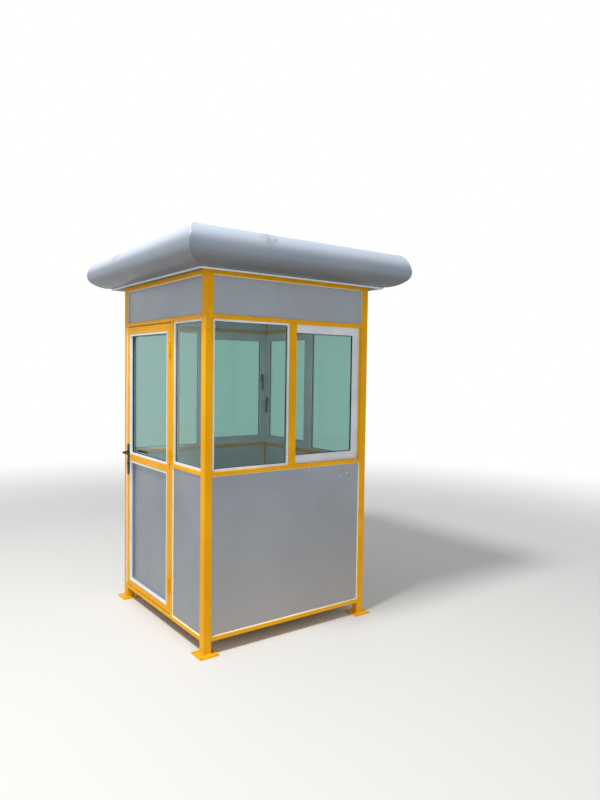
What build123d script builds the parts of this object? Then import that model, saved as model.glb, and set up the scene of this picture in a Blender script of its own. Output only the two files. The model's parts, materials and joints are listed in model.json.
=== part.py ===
from build123d import *
from math import atan2, cos, degrees, radians, sin
import os

# Security guard booth, millimetres, +Z up, origin on the ground at the plan centre.
# +X runs along the window front, -Y is the window front, -X is the door side.

# Steel frame
BOOTH_WIDTH = 1200.0
BOOTH_DEPTH = 1200.0
FRAME_HEIGHT = 2180.0
POST_SIZE = 50.0
RAIL_HEIGHT = 25.0
TUBE_CORNER_RADIUS = 3.0
BOTTOM_RAIL_UNDERSIDE = 76.0
SILL_RAIL_TOP = 1048.0
UPPER_PANEL_HEIGHT = 220.0
MULLION_WIDTH = 50.0
MULLION_DEPTH = 25.0
FOOT_PLATE_SIZE = 120.0
FOOT_PLATE_THICKNESS = 6.0
ANCHOR_HOLE_SPACING = 92.0
ANCHOR_HOLE_DIAMETER = 12.0

# Infill panels and their sealant beads
PANEL_RECESS = 10.0
PANEL_BEAD_WIDTH = 3.0
PANEL_BEAD_THICKNESS = 8.0

# Fixed glazing
GLASS_THICKNESS = 5.0
GLAZING_RECESS = 8.0
GLAZING_BEAD_WIDTH = 13.0
GLAZING_BEAD_THICKNESS = 12.0

# Opening window units, set behind the mullion
UNIT_FRAME_WIDTH = 54.0
UNIT_FRAME_DEPTH = 24.0
UNIT_STEP_WIDTH = 16.0
UNIT_STEP_DEPTH = 4.0
UNIT_LIP_CHAMFER = 5.0
UNIT_BEHIND_MULLION = 1.0
UNIT_OVER_MULLION = 49.0
WINDOW_HANDLE_INSET = 34.0
FRONT_HANDLE_ABOVE_SILL = 432.0
RIGHT_HANDLE_ABOVE_SILL = 332.0
BACK_HANDLE_ABOVE_SILL = 512.0
HANDLE_BASE_WIDTH = 20.0
HANDLE_BASE_DEPTH = 8.0
HANDLE_BASE_HEIGHT = 62.0
HANDLE_LEVER_WIDTH = 12.0
HANDLE_LEVER_DEPTH = 9.0
HANDLE_LEVER_LENGTH = 107.0
HANDLE_LEVER_ROUNDING = 3.0

# Floor
FLOOR_BOARD_THICKNESS = 9.0
FLOOR_JOIST_WIDTH = 40.0
FLOOR_JOIST_COUNT = 3

# Roof: flat soffit with an eaves strip round it, half-round edge of bent sheet, and a low
# pyramid on a rim that falls towards the back to drain
ROOF_OVERHANG = 70.0
SOFFIT_THICKNESS = 12.0
EAVES_STRIP_THICKNESS = 6.0
EAVES_STRIP_HEIGHT = 24.0
EAVES_STRIP_SHOWING = 12.0
NOSE_SHEET_THICKNESS = 4.0
NOSE_REACH = 130.0
NOSE_LOWER_RISE = 92.0
NOSE_BELLY_RADIUS = 70.0
NOSE_FRONT_RISE = 115.0
NOSE_TOP_RUN = 78.0
NOSE_UPPER_SWING = 36.0
NOSE_FOLD_STEP = 6.0
NOSE_FOOT_FLANGE = 16.0
NOSE_MITRE_GAP = 0.6
NOSE_SEAM_GAP = 1.2
NOSE_SEAM_OFFSET = 300.0
ROOF_FALL = 28.0
ROOF_RIM_THICKNESS = 12.0
ROOF_PITCH_RISE = 54.0
ROOF_APEX_SIZE = 60.0
CURB_THICKNESS = 40.0

# Door leaf, hinged on the jamb beside the side light
JAMB_WIDTH = 30.0
DOOR_OPENING_WIDTH = 700.0
DOOR_GAP = 5.0
DOOR_BOTTOM_GAP = 7.0
DOOR_DEPTH = 40.0
DOOR_STILE_WIDTH = 42.0
DOOR_TOP_RAIL = 48.0
DOOR_MID_RAIL = 46.0
DOOR_MID_RAIL_UNDERSIDE = 985.0
DOOR_BOTTOM_RAIL = 36.0
DOOR_PANEL_THICKNESS = 10.0
DOOR_BEAD_RECESS = 18.0
DOOR_BEAD_WIDTH = 18.0
DOOR_BEAD_THICKNESS = 9.0
DOOR_INNER_BEAD_THICKNESS = 6.0
STOP_THICKNESS = 5.0
STOP_OVERLAP = 12.0
STOP_END_GAP = 0.5

# Hinges
HINGE_LENGTH = 86.0
HINGE_BELOW_DOOR_TOP = 160.0
HINGE_ABOVE_DOOR_BOTTOM = 180.0
HINGE_ABOVE_MID_RAIL = 55.0
KNUCKLE_RADIUS = 6.5
HINGE_PIN_RADIUS = 3.0
HINGE_PIN_CLEARANCE = 0.1
HINGE_KNUCKLE_GAP = 1.0
HINGE_PLATE_THICKNESS = 2.5
HINGE_PLATE_WIDTH = 24.0
HINGE_NOTCH_CLEARANCE = 1.0

# Lock and lever handles
LOCK_PLATE_WIDTH = 36.0
LOCK_PLATE_HEIGHT = 214.0
LOCK_PLATE_THICKNESS = 4.0
LOCK_PLATE_CORNER_RADIUS = 9.0
LOCK_PLATE_BELOW_MID_RAIL = 16.0
LEVER_ABOVE_PLATE_CENTRE = 48.0
LEVER_NECK_RADIUS = 9.0
LEVER_STAND_OFF = 42.0
LEVER_RADIUS = 7.5
LEVER_LENGTH = 105.0
KEYHOLE_BELOW_PLATE_CENTRE = 30.0
KEYHOLE_RADIUS = 8.5
KEYHOLE_PROUD = 5.0

# How far a cutting shape runs past what it cuts
CUT_MARGIN = 5.0

HALF_WIDTH = BOOTH_WIDTH / 2
HALF_DEPTH = BOOTH_DEPTH / 2
WALL_TURNS = {"front": 0, "right": 1, "back": 2, "left": 3}
UNIT_SIDES = ("front", "right", "back")
BOTTOM_RAIL_TOP = BOTTOM_RAIL_UNDERSIDE + RAIL_HEIGHT
SILL_RAIL_UNDERSIDE = SILL_RAIL_TOP - RAIL_HEIGHT
TOP_RAIL_UNDERSIDE = FRAME_HEIGHT - RAIL_HEIGHT
HEAD_RAIL_TOP = TOP_RAIL_UNDERSIDE - UPPER_PANEL_HEIGHT
HEAD_RAIL_UNDERSIDE = HEAD_RAIL_TOP - RAIL_HEIGHT

# Roof levels and the half-round edge's centres in its own section, X inward from the wall face
SOFFIT_TOP = FRAME_HEIGHT + SOFFIT_THICKNESS
EAVES_LEVEL = SOFFIT_TOP - EAVES_STRIP_HEIGHT
NOSE_BASE = EAVES_LEVEL + EAVES_STRIP_SHOWING
BELLY_LEVEL = NOSE_BASE + NOSE_LOWER_RISE
ROOF_EDGE_TOP = BELLY_LEVEL + NOSE_FRONT_RISE
NOSE_RISES = {"front": NOSE_FRONT_RISE, "back": NOSE_FRONT_RISE - ROOF_FALL}
NOSE_FRONT = -ROOF_OVERHANG - NOSE_REACH
NOSE_TOP_END = NOSE_FRONT + NOSE_TOP_RUN
TOP_HALF_WIDTH = HALF_WIDTH - NOSE_TOP_END
TOP_HALF_DEPTH = HALF_DEPTH - NOSE_TOP_END
FALL_HALF_RUN = HALF_DEPTH + ROOF_OVERHANG - EAVES_STRIP_THICKNESS
BELLY_RUN = NOSE_REACH - NOSE_BELLY_RADIUS
LOWER_RADIUS = (BELLY_RUN**2 + NOSE_LOWER_RISE**2 - NOSE_BELLY_RADIUS**2) / (
    2 * (NOSE_LOWER_RISE - NOSE_BELLY_RADIUS))
BELLY_SWING = degrees(atan2(LOWER_RADIUS - NOSE_LOWER_RISE, BELLY_RUN))

# Door bounds along its wall and in height
DOOR_LATCH_EDGE = POST_SIZE - HALF_DEPTH
JAMB_START = DOOR_LATCH_EDGE + DOOR_OPENING_WIDTH
JAMB_END = JAMB_START + JAMB_WIDTH
DOOR_START = DOOR_LATCH_EDGE + DOOR_GAP
DOOR_END = JAMB_START - DOOR_GAP
DOOR_BOTTOM = BOTTOM_RAIL_TOP + DOOR_BOTTOM_GAP
DOOR_TOP = HEAD_RAIL_UNDERSIDE - DOOR_GAP
INFILL_START = DOOR_START + DOOR_STILE_WIDTH
INFILL_END = DOOR_END - DOOR_STILE_WIDTH
INFILL_FACE = DOOR_BEAD_RECESS + DOOR_BEAD_THICKNESS
DOOR_MID_RAIL_TOP = DOOR_MID_RAIL_UNDERSIDE + DOOR_MID_RAIL
DOOR_GLASS_TOP = DOOR_TOP - DOOR_TOP_RAIL
DOOR_PANEL_BOTTOM = DOOR_BOTTOM + DOOR_BOTTOM_RAIL
HINGE_AXIS_X = JAMB_START - DOOR_GAP / 2
HINGE_AXIS_Y = -KNUCKLE_RADIUS
HINGE_CENTRES = (DOOR_BOTTOM + HINGE_ABOVE_DOOR_BOTTOM,
                 DOOR_MID_RAIL_TOP + HINGE_ABOVE_MID_RAIL,
                 DOOR_TOP - HINGE_BELOW_DOOR_TOP)


def block(x0, x1, y0, y1, z0, z1):
    """A box from its lower and upper bounds."""
    size = Box(x1 - x0, y1 - y0, z1 - z0, align=(Align.MIN, Align.MIN, Align.MIN))
    return Pos(x0, y0, z0) * size


def tube(x0, x1, y0, y1, z0, z1, axis):
    """A rectangular tube, modelled by its outside, with rounded long corners."""
    bar = block(x0, x1, y0, y1, z0, z1)
    return fillet(bar.edges().filter_by(axis), TUBE_CORNER_RADIUS)


def ring(x0, x1, y0, y1, z0, z1, border):
    """A flat frame in the X-Z plane with an open middle."""
    outer = block(x0, x1, y0, y1, z0, z1)
    inner = block(x0 + border, x1 - border, y0 - CUT_MARGIN, y1 + CUT_MARGIN, z0 + border, z1 - border)
    return outer - inner


def rod(radius, length):
    """A round bar that stands on its end."""
    return Cylinder(radius, length, align=(Align.CENTER, Align.CENTER, Align.MIN))


def on_wall(shape, side):
    """Place a piece drawn with X along the wall, Y inward from its face and Z up."""
    half = HALF_DEPTH if side in ("front", "back") else HALF_WIDTH
    return Rot(0, 0, 90 * WALL_TURNS[side]) * Pos(0, -half, 0) * shape


def wall_length(side):
    return BOOTH_WIDTH if side in ("front", "back") else BOOTH_DEPTH


def clear_half(side):
    """Half the distance between the posts of one wall."""
    return wall_length(side) / 2 - POST_SIZE


def save(name, pieces):
    """Write one node, a single solid or several that stay apart."""
    shapes = pieces if isinstance(pieces, list) else [pieces]
    solids = [solid for shape in shapes for solid in shape.solids()]
    model = solids[0] if len(solids) == 1 else Compound(children=solids)
    export_step(model, f"parts/{name}.step")


def post_centres():
    x = HALF_WIDTH - POST_SIZE / 2
    y = HALF_DEPTH - POST_SIZE / 2
    return {"front_left": (-x, -y), "front_right": (x, -y), "back_left": (-x, y), "back_right": (x, y)}


def corner_post(cx, cy):
    half = POST_SIZE / 2
    return tube(cx - half, cx + half, cy - half, cy + half, FOOT_PLATE_THICKNESS, FRAME_HEIGHT, Axis.Z)


def foot_plate(cx, cy):
    """A square plate with an anchor hole in each corner."""
    half = FOOT_PLATE_SIZE / 2
    plate = block(cx - half, cx + half, cy - half, cy + half, 0, FOOT_PLATE_THICKNESS)
    hole = rod(ANCHOR_HOLE_DIAMETER / 2, FOOT_PLATE_THICKNESS)
    return plate - Pos(cx, cy, 0) * GridLocations(ANCHOR_HOLE_SPACING, ANCHOR_HOLE_SPACING, 2, 2) * hole


def wall_rail(side, z0, start=None):
    """A horizontal tube between the posts of one wall, or from start to its far post."""
    half = clear_half(side)
    near = -half if start is None else start
    bar = tube(near, half, 0, POST_SIZE, z0, z0 + RAIL_HEIGHT, Axis.X)
    return on_wall(bar, side)


def rails(z0):
    return [wall_rail(side, z0) for side in WALL_TURNS]


def sill_rails():
    """Rails under the glazing; on the door's wall only under the side light."""
    bars = [wall_rail(side, SILL_RAIL_UNDERSIDE) for side in UNIT_SIDES]
    bars.append(wall_rail("left", SILL_RAIL_UNDERSIDE, start=JAMB_END))
    return bars


def mullion(side):
    half = MULLION_WIDTH / 2
    bar = tube(-half, half, 0, MULLION_DEPTH, SILL_RAIL_TOP, HEAD_RAIL_UNDERSIDE, Axis.Z)
    return on_wall(bar, side)


def door_jamb():
    bar = tube(JAMB_START, JAMB_END, 0, POST_SIZE, BOTTOM_RAIL_TOP, HEAD_RAIL_UNDERSIDE, Axis.Z)
    return on_wall(bar, "left")


def door_stops():
    """Flat bars at the back of the opening that the closed leaf meets."""
    reach = DOOR_GAP + STOP_OVERLAP
    y0 = POST_SIZE - STOP_THICKNESS
    bounds = [
        (DOOR_LATCH_EDGE, DOOR_LATCH_EDGE + reach, BOTTOM_RAIL_TOP),
        (JAMB_START - reach, JAMB_START, BOTTOM_RAIL_TOP),
        (DOOR_LATCH_EDGE + reach + STOP_END_GAP, JAMB_START - reach - STOP_END_GAP, HEAD_RAIL_UNDERSIDE - reach),
    ]
    return [on_wall(block(x0, x1, y0, POST_SIZE, z0, HEAD_RAIL_UNDERSIDE), "left") for x0, x1, z0 in bounds]


def infill_panel(x0, x1, z0, z1):
    return block(x0, x1, PANEL_RECESS, POST_SIZE - PANEL_RECESS, z0, z1)


def panel_bead(x0, x1, z0, z1):
    return ring(x0, x1, PANEL_RECESS - PANEL_BEAD_THICKNESS, PANEL_RECESS, z0, z1, PANEL_BEAD_WIDTH)


def panel_bays():
    """The infill bays as name, wall and bounds along the wall and in height."""
    bays = []
    for side in WALL_TURNS:
        half = clear_half(side)
        start = JAMB_END if side == "left" else -half
        bays.append(("upper_panel", side, -half, half, HEAD_RAIL_TOP, TOP_RAIL_UNDERSIDE))
        bays.append(("lower_panel", side, start, half, BOTTOM_RAIL_TOP, SILL_RAIL_UNDERSIDE))
    return bays


def fixed_bays():
    """The fixed glazing bays as wall and bounds along the wall."""
    edge = MULLION_WIDTH / 2
    return [
        ("front", -clear_half("front"), -edge),
        ("right", -clear_half("right"), -edge),
        ("back", edge, clear_half("back")),
        ("left", JAMB_END, clear_half("left")),
    ]


def fixed_glass(side, x0, x1):
    y0 = GLAZING_RECESS + GLAZING_BEAD_THICKNESS
    pane = block(x0, x1, y0, y0 + GLASS_THICKNESS, SILL_RAIL_TOP, HEAD_RAIL_UNDERSIDE)
    return on_wall(pane, side)


def fixed_beads(side, x0, x1):
    """The bead in front of a fixed pane and the one behind it."""
    glass_front = GLAZING_RECESS + GLAZING_BEAD_THICKNESS
    glass_back = glass_front + GLASS_THICKNESS
    spans = ((GLAZING_RECESS, glass_front), (glass_back, glass_back + GLAZING_BEAD_THICKNESS))
    return [on_wall(ring(x0, x1, y0, y1, SILL_RAIL_TOP, HEAD_RAIL_UNDERSIDE, GLAZING_BEAD_WIDTH), side)
            for y0, y1 in spans]


def unit_span(side):
    """The opening unit's bounds along its wall: it covers most of the mullion's back."""
    edge = UNIT_OVER_MULLION - MULLION_WIDTH / 2
    if side == "back":
        return -clear_half(side), edge
    return -edge, clear_half(side)


def window_frame(side):
    """A wide frame with a stepped face and a bevelled lip round its pane."""
    x0, x1 = unit_span(side)
    y0 = MULLION_DEPTH + UNIT_BEHIND_MULLION
    frame = ring(x0, x1, y0, y0 + UNIT_FRAME_DEPTH, SILL_RAIL_TOP, HEAD_RAIL_UNDERSIDE, UNIT_FRAME_WIDTH)
    border = UNIT_FRAME_WIDTH - UNIT_STEP_WIDTH
    frame -= block(x0 + border, x1 - border, y0 - CUT_MARGIN, y0 + UNIT_STEP_DEPTH,
                   SILL_RAIL_TOP + border, HEAD_RAIL_UNDERSIDE - border)
    lip = frame.faces().filter_by(Axis.Y).sort_by(Axis.Y)[1]
    return on_wall(chamfer(lip.inner_wires()[0].edges(), UNIT_LIP_CHAMFER), side)


def window_pane(side):
    x0, x1 = unit_span(side)
    y0 = MULLION_DEPTH + UNIT_BEHIND_MULLION + (UNIT_FRAME_DEPTH - GLASS_THICKNESS) / 2
    border = UNIT_FRAME_WIDTH
    pane = block(x0 + border, x1 - border, y0, y0 + GLASS_THICKNESS,
                 SILL_RAIL_TOP + border, HEAD_RAIL_UNDERSIDE - border)
    return on_wall(pane, side)


def window_handle(side, above_sill):
    """A small turning handle inside, on the stile away from the mullion."""
    x0, x1 = unit_span(side)
    centre = x0 + WINDOW_HANDLE_INSET if side == "back" else x1 - WINDOW_HANDLE_INSET
    z = SILL_RAIL_TOP + above_sill
    y0 = MULLION_DEPTH + UNIT_BEHIND_MULLION + UNIT_FRAME_DEPTH
    y1 = y0 + HANDLE_BASE_DEPTH
    base = block(centre - HANDLE_BASE_WIDTH / 2, centre + HANDLE_BASE_WIDTH / 2, y0, y1,
                 z - HANDLE_BASE_HEIGHT / 2, z + HANDLE_BASE_HEIGHT / 2)
    lever = block(centre - HANDLE_LEVER_WIDTH / 2, centre + HANDLE_LEVER_WIDTH / 2,
                  y1, y1 + HANDLE_LEVER_DEPTH,
                  z + HANDLE_LEVER_WIDTH - HANDLE_LEVER_LENGTH, z + HANDLE_LEVER_WIDTH)
    lever = chamfer(lever.edges().filter_by(Axis.X), HANDLE_LEVER_ROUNDING)
    return on_wall(base + lever, side)


def floor_board():
    x = HALF_WIDTH - POST_SIZE
    y = HALF_DEPTH - POST_SIZE
    return block(-x, x, -y, y, BOTTOM_RAIL_TOP - FLOOR_BOARD_THICKNESS, BOTTOM_RAIL_TOP)


def floor_joists():
    """Cross tubes that carry the board between the front and back rails."""
    y = HALF_DEPTH - POST_SIZE
    spacing = 2 * (HALF_WIDTH - POST_SIZE) / (FLOOR_JOIST_COUNT + 1)
    joist = block(-FLOOR_JOIST_WIDTH / 2, FLOOR_JOIST_WIDTH / 2, -y, y,
                  BOTTOM_RAIL_UNDERSIDE, BOTTOM_RAIL_TOP - FLOOR_BOARD_THICKNESS)
    middle = (FLOOR_JOIST_COUNT - 1) / 2
    return [Pos((number - middle) * spacing, 0, 0) * joist for number in range(FLOOR_JOIST_COUNT)]


def ceiling_panel():
    x = HALF_WIDTH - POST_SIZE
    y = HALF_DEPTH - POST_SIZE
    return block(-x, x, -y, y, TOP_RAIL_UNDERSIDE, FRAME_HEIGHT)


def roof_soffit():
    x = HALF_WIDTH + ROOF_OVERHANG - EAVES_STRIP_THICKNESS
    y = HALF_DEPTH + ROOF_OVERHANG - EAVES_STRIP_THICKNESS
    return block(-x, x, -y, y, FRAME_HEIGHT, SOFFIT_TOP)


def eaves_strip(side):
    """One mitred length of the strip that hangs round the soffit's edge."""
    run = wall_length(side) / 2 + ROOF_OVERHANG
    strip = block(-run, run, -ROOF_OVERHANG, EAVES_STRIP_THICKNESS - ROOF_OVERHANG, EAVES_LEVEL, SOFFIT_TOP)
    return on_wall(strip & mitre_wedge(side), side)


def upper_radii(rise):
    """Radii of the arc above the belly and of the shoulder arc, which meet at the same angle at any rise."""
    sine = sin(radians(NOSE_UPPER_SWING))
    cosine = cos(radians(NOSE_UPPER_SWING))
    share = sine + cosine - 1
    upper = (rise * cosine - NOSE_TOP_RUN * (1 - sine)) / share
    shoulder = (NOSE_TOP_RUN * sine - rise * (1 - cosine)) / share
    return upper, shoulder


def upper_arcs(rise, inset):
    """Centre, radius, first angle and swing of the two arcs above the belly, from the top down."""
    upper, shoulder = upper_radii(rise)
    joint = 180 - NOSE_UPPER_SWING
    return (((NOSE_TOP_END, BELLY_LEVEL + rise - shoulder), shoulder - inset, 90, joint - 90),
            ((NOSE_FRONT + upper, BELLY_LEVEL), upper - inset, joint, NOSE_UPPER_SWING))


def upper_section(rise):
    """The bent sheet's section above the belly."""
    top = BELLY_LEVEL + rise
    with BuildSketch(Plane.YZ) as sketch:
        with BuildLine():
            for inset in (0, NOSE_SHEET_THICKNESS):
                for centre, radius, first, swing in upper_arcs(rise, inset):
                    CenterArc(centre, radius, first, swing)
            Line((NOSE_TOP_END, top), (NOSE_TOP_END, top - NOSE_SHEET_THICKNESS))
            Line((NOSE_FRONT, BELLY_LEVEL), (NOSE_FRONT + NOSE_SHEET_THICKNESS, BELLY_LEVEL))
        make_face()
    return sketch.sketch


def lower_section():
    """The bent sheet's section from the belly to the flange on the eaves strip."""
    sheet = NOSE_SHEET_THICKNESS
    foot = -ROOF_OVERHANG
    turn = 180 + BELLY_SWING
    with BuildSketch(Plane.YZ) as sketch:
        with BuildLine():
            for inset in (0, sheet):
                CenterArc((NOSE_FRONT + NOSE_BELLY_RADIUS, BELLY_LEVEL), NOSE_BELLY_RADIUS - inset, 180,
                          BELLY_SWING)
                CenterArc((foot, NOSE_BASE + LOWER_RADIUS), LOWER_RADIUS - inset, turn, 270 - turn)
            Line((NOSE_FRONT, BELLY_LEVEL), (NOSE_FRONT + sheet, BELLY_LEVEL))
            Line((foot, NOSE_BASE), (foot, NOSE_BASE + sheet))
        make_face()
        with Locations((foot, NOSE_BASE + sheet / 2)):
            Rectangle(sheet, NOSE_FOOT_FLANGE, align=(Align.MAX, Align.MIN))
    return sketch.sketch


def folded_outline(rise, x):
    """The corners at x of the section above the belly, with each arc folded in equal steps."""
    edges = []
    for inset in (0, NOSE_SHEET_THICKNESS):
        edge = []
        for centre, radius, first, swing in upper_arcs(rise, inset):
            steps = round(swing / NOSE_FOLD_STEP)
            for k in range(steps):
                angle = radians(first + swing * k / steps)
                edge.append((x, centre[0] + radius * cos(angle), centre[1] + radius * sin(angle)))
        edges.append(edge + [(x, NOSE_FRONT + inset, BELLY_LEVEL)])
    return edges[0] + edges[1][::-1]


def flat_face(corners):
    return make_face(Polyline(*corners, close=True))


def folded_length(start, end):
    """A solid of flat faces between two outlines with as many corners each."""
    faces = [flat_face(start), flat_face(end)]
    for (a, b), (c, d) in zip(zip(start, start[1:] + start[:1]), zip(end, end[1:] + end[:1])):
        faces.append(flat_face([a, b, d, c]))
    return Solid(Shell([face.face() for face in faces]))


def mitre_wedge(side):
    """The plan area of one length of roof edge, cut at 45 degrees at both ends."""
    half = wall_length(side) / 2
    front = NOSE_FRONT - CUT_MARGIN
    with BuildSketch() as plan:
        with BuildLine():
            Polyline((-half + front + NOSE_MITRE_GAP, front), (half - front - NOSE_MITRE_GAP, front),
                     (half - NOSE_MITRE_GAP, 0), (-half + NOSE_MITRE_GAP, 0), close=True)
        make_face()
    return extrude(plan.sketch, ROOF_EDGE_TOP + CUT_MARGIN)


def edge_rise(side, x):
    """How high the roof edge stands over its belly at x along a wall; it drops along the sides."""
    if side in NOSE_RISES:
        return NOSE_RISES[side]
    y = x if side == "right" else -x
    share = (min(max(y, -FALL_HALF_RUN), FALL_HALF_RUN) + FALL_HALF_RUN) / (2 * FALL_HALF_RUN)
    return NOSE_FRONT_RISE - ROOF_FALL * share


def upper_sheet(side, start, end):
    """The sheet above the belly from start to end along its wall, folded where it drops with the roof."""
    if side in NOSE_RISES:
        return Pos(start, 0, 0) * extrude(upper_section(NOSE_RISES[side]), end - start)
    stops = [start] + [x for x in (-FALL_HALF_RUN, FALL_HALF_RUN) if start < x < end] + [end]
    outlines = [folded_outline(edge_rise(side, x), x) for x in stops]
    lengths = [folded_length(a, b) for a, b in zip(outlines, outlines[1:])]
    return lengths[0] + lengths[1:]


def fascia(side):
    """One side of the half-round roof edge: two mitred sheets with a seam between them."""
    corner = wall_length(side) / 2 - NOSE_FRONT
    seam_start = -NOSE_SEAM_OFFSET - NOSE_SEAM_GAP / 2
    seam_end = -NOSE_SEAM_OFFSET + NOSE_SEAM_GAP / 2
    wedge = mitre_wedge(side)
    sheets = []
    for start, end in ((-corner, seam_start), (seam_end, corner)):
        lower = Pos(start, 0, 0) * extrude(lower_section(), end - start)
        sheets.append((lower + upper_sheet(side, start, end)) & wedge)
    return on_wall(Compound(sheets), side)


def roof_level(y):
    """The height of the roof's rim at y, front to back."""
    return ROOF_EDGE_TOP - ROOF_FALL * (y + TOP_HALF_DEPTH) / (2 * TOP_HALF_DEPTH)


def crosswise(x, corners):
    """A bar from -x to x whose section has the given (y, z) corners."""
    with BuildSketch(Plane.YZ) as section:
        with BuildLine():
            Polyline(*corners, close=True)
        make_face()
    return Pos(-x, 0, 0) * extrude(section.sketch, 2 * x)


def roof_corners(x, y, rise):
    """The four corners, in turn, of a rectangle that lies the same distance above the rim all over."""
    return [(east, north, roof_level(north) + rise) for east, north in ((-x, -y), (x, -y), (x, y), (-x, y))]


def roof_top():
    """A rim let in between the edge sheets and a low pyramid that sheds the rain, both on the tilt."""
    x, y = TOP_HALF_WIDTH, TOP_HALF_DEPTH
    half = ROOF_APEX_SIZE / 2
    rim = folded_length(roof_corners(x, y, -ROOF_RIM_THICKNESS), roof_corners(x, y, 0))
    return rim + folded_length(roof_corners(x, y, 0), roof_corners(half, half, ROOF_PITCH_RISE))


def roof_curb():
    """The hidden upstand that carries the roof top over the frame."""
    y = HALF_DEPTH
    tops = [(side, roof_level(side) - ROOF_RIM_THICKNESS) for side in (y, -y)]
    outer = crosswise(HALF_WIDTH, [(-y, SOFFIT_TOP), (y, SOFFIT_TOP), *tops])
    inner_x = HALF_WIDTH - CURB_THICKNESS
    inner_y = HALF_DEPTH - CURB_THICKNESS
    return outer - block(-inner_x, inner_x, -inner_y, inner_y, SOFFIT_TOP - CUT_MARGIN, ROOF_EDGE_TOP)


def door_frame():
    """The leaf's stiles, top, middle and bottom rails in one welded piece."""
    leaf = tube(DOOR_START, DOOR_END, 0, DOOR_DEPTH, DOOR_BOTTOM, DOOR_TOP, Axis.Z)
    for z0, z1 in ((DOOR_PANEL_BOTTOM, DOOR_MID_RAIL_UNDERSIDE), (DOOR_MID_RAIL_TOP, DOOR_GLASS_TOP)):
        leaf -= block(INFILL_START, INFILL_END, -CUT_MARGIN, DOOR_DEPTH + CUT_MARGIN, z0, z1)
    return on_wall(leaf, "left")


def door_glass():
    pane = block(INFILL_START, INFILL_END, INFILL_FACE, INFILL_FACE + GLASS_THICKNESS,
                 DOOR_MID_RAIL_TOP, DOOR_GLASS_TOP)
    return on_wall(pane, "left")


def door_panel():
    board = block(INFILL_START, INFILL_END, INFILL_FACE, INFILL_FACE + DOOR_PANEL_THICKNESS,
                  DOOR_PANEL_BOTTOM, DOOR_MID_RAIL_UNDERSIDE)
    return on_wall(board, "left")


def door_beads():
    """Beads before and behind the pane, and before the panel."""
    glass_back = INFILL_FACE + GLASS_THICKNESS
    bounds = [
        (DOOR_BEAD_RECESS, INFILL_FACE, DOOR_MID_RAIL_TOP, DOOR_GLASS_TOP),
        (glass_back, glass_back + DOOR_INNER_BEAD_THICKNESS, DOOR_MID_RAIL_TOP, DOOR_GLASS_TOP),
        (DOOR_BEAD_RECESS, INFILL_FACE, DOOR_PANEL_BOTTOM, DOOR_MID_RAIL_UNDERSIDE),
    ]
    return [on_wall(ring(INFILL_START, INFILL_END, y0, y1, z0, z1, DOOR_BEAD_WIDTH), "left")
            for y0, y1, z0, z1 in bounds]


def knuckle(z0, z1):
    return Pos(HINGE_AXIS_X, HINGE_AXIS_Y, z0) * rod(KNUCKLE_RADIUS, z1 - z0)


def hinge_plate(z0, z1, direction, inner):
    """A leaf plate on the door or the jamb, from inner to its full width off the pin."""
    x0, x1 = sorted((HINGE_AXIS_X + direction * inner, HINGE_AXIS_X + direction * HINGE_PLATE_WIDTH))
    return block(x0, x1, -HINGE_PLATE_THICKNESS, 0, z0, z1)


def hinge_levels(centre):
    """The ends of the lower, middle and upper knuckle of one hinge."""
    third = HINGE_LENGTH / 3
    return [centre + (number - 1.5) * third for number in range(4)]


def jamb_hinge(centre):
    """The fixed leaf: a plate, the outer knuckles and the pin."""
    z0, z1, z2, z3 = hinge_levels(centre)
    leaf = hinge_plate(z0, z3, 1, KNUCKLE_RADIUS + HINGE_NOTCH_CLEARANCE)
    for low, high in ((z0, z1), (z2, z3)):
        leaf += knuckle(low, high) + hinge_plate(low, high, 1, 0)
    pin = Pos(HINGE_AXIS_X, HINGE_AXIS_Y, z0) * rod(HINGE_PIN_RADIUS, HINGE_LENGTH)
    return on_wall(leaf + pin, "left")


def door_hinge(centre):
    """The moving leaf: a plate and the middle knuckle, bored to turn on the pin."""
    z0, z1, z2, z3 = hinge_levels(centre)
    low, high = z1 + HINGE_KNUCKLE_GAP, z2 - HINGE_KNUCKLE_GAP
    leaf = hinge_plate(z0, z3, -1, KNUCKLE_RADIUS + HINGE_NOTCH_CLEARANCE)
    leaf += hinge_plate(low, high, -1, 0) + knuckle(low, high)
    bore = rod(HINGE_PIN_RADIUS + HINGE_PIN_CLEARANCE, high - low)
    return on_wall(leaf - Pos(HINGE_AXIS_X, HINGE_AXIS_Y, low) * bore, "left")


def cross_rod(x, z, radius, face, end):
    """A round bar square to the door, from its face to the named distance off it."""
    y0, y1 = sorted((face, end))
    return Pos(x, y1, z) * Rot(90, 0, 0) * rod(radius, y1 - y0)


def handle_side(face, outward):
    """Backplate, lever and key cylinder on one face of the latch stile."""
    x = DOOR_START + DOOR_STILE_WIDTH / 2
    z = DOOR_MID_RAIL_UNDERSIDE + DOOR_MID_RAIL / 2 - LOCK_PLATE_BELOW_MID_RAIL
    y0, y1 = sorted((face, face + outward * LOCK_PLATE_THICKNESS))
    plate = block(x - LOCK_PLATE_WIDTH / 2, x + LOCK_PLATE_WIDTH / 2, y0, y1,
                  z - LOCK_PLATE_HEIGHT / 2, z + LOCK_PLATE_HEIGHT / 2)
    plate = chamfer(plate.edges().filter_by(Axis.Y), LOCK_PLATE_CORNER_RADIUS)
    lever_z = z + LEVER_ABOVE_PLATE_CENTRE
    arm_y = face + outward * LEVER_STAND_OFF
    neck = cross_rod(x, lever_z, LEVER_NECK_RADIUS, face, arm_y + outward * LEVER_RADIUS)
    arm = Pos(x, arm_y, lever_z) * Rot(0, 90, 0) * rod(LEVER_RADIUS, LEVER_LENGTH)
    lock_end = face + outward * (LOCK_PLATE_THICKNESS + KEYHOLE_PROUD)
    lock = cross_rod(x, z - KEYHOLE_BELOW_PLATE_CENTRE, KEYHOLE_RADIUS, face, lock_end)
    return on_wall(plate + neck + arm + lock, "left")


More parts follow.
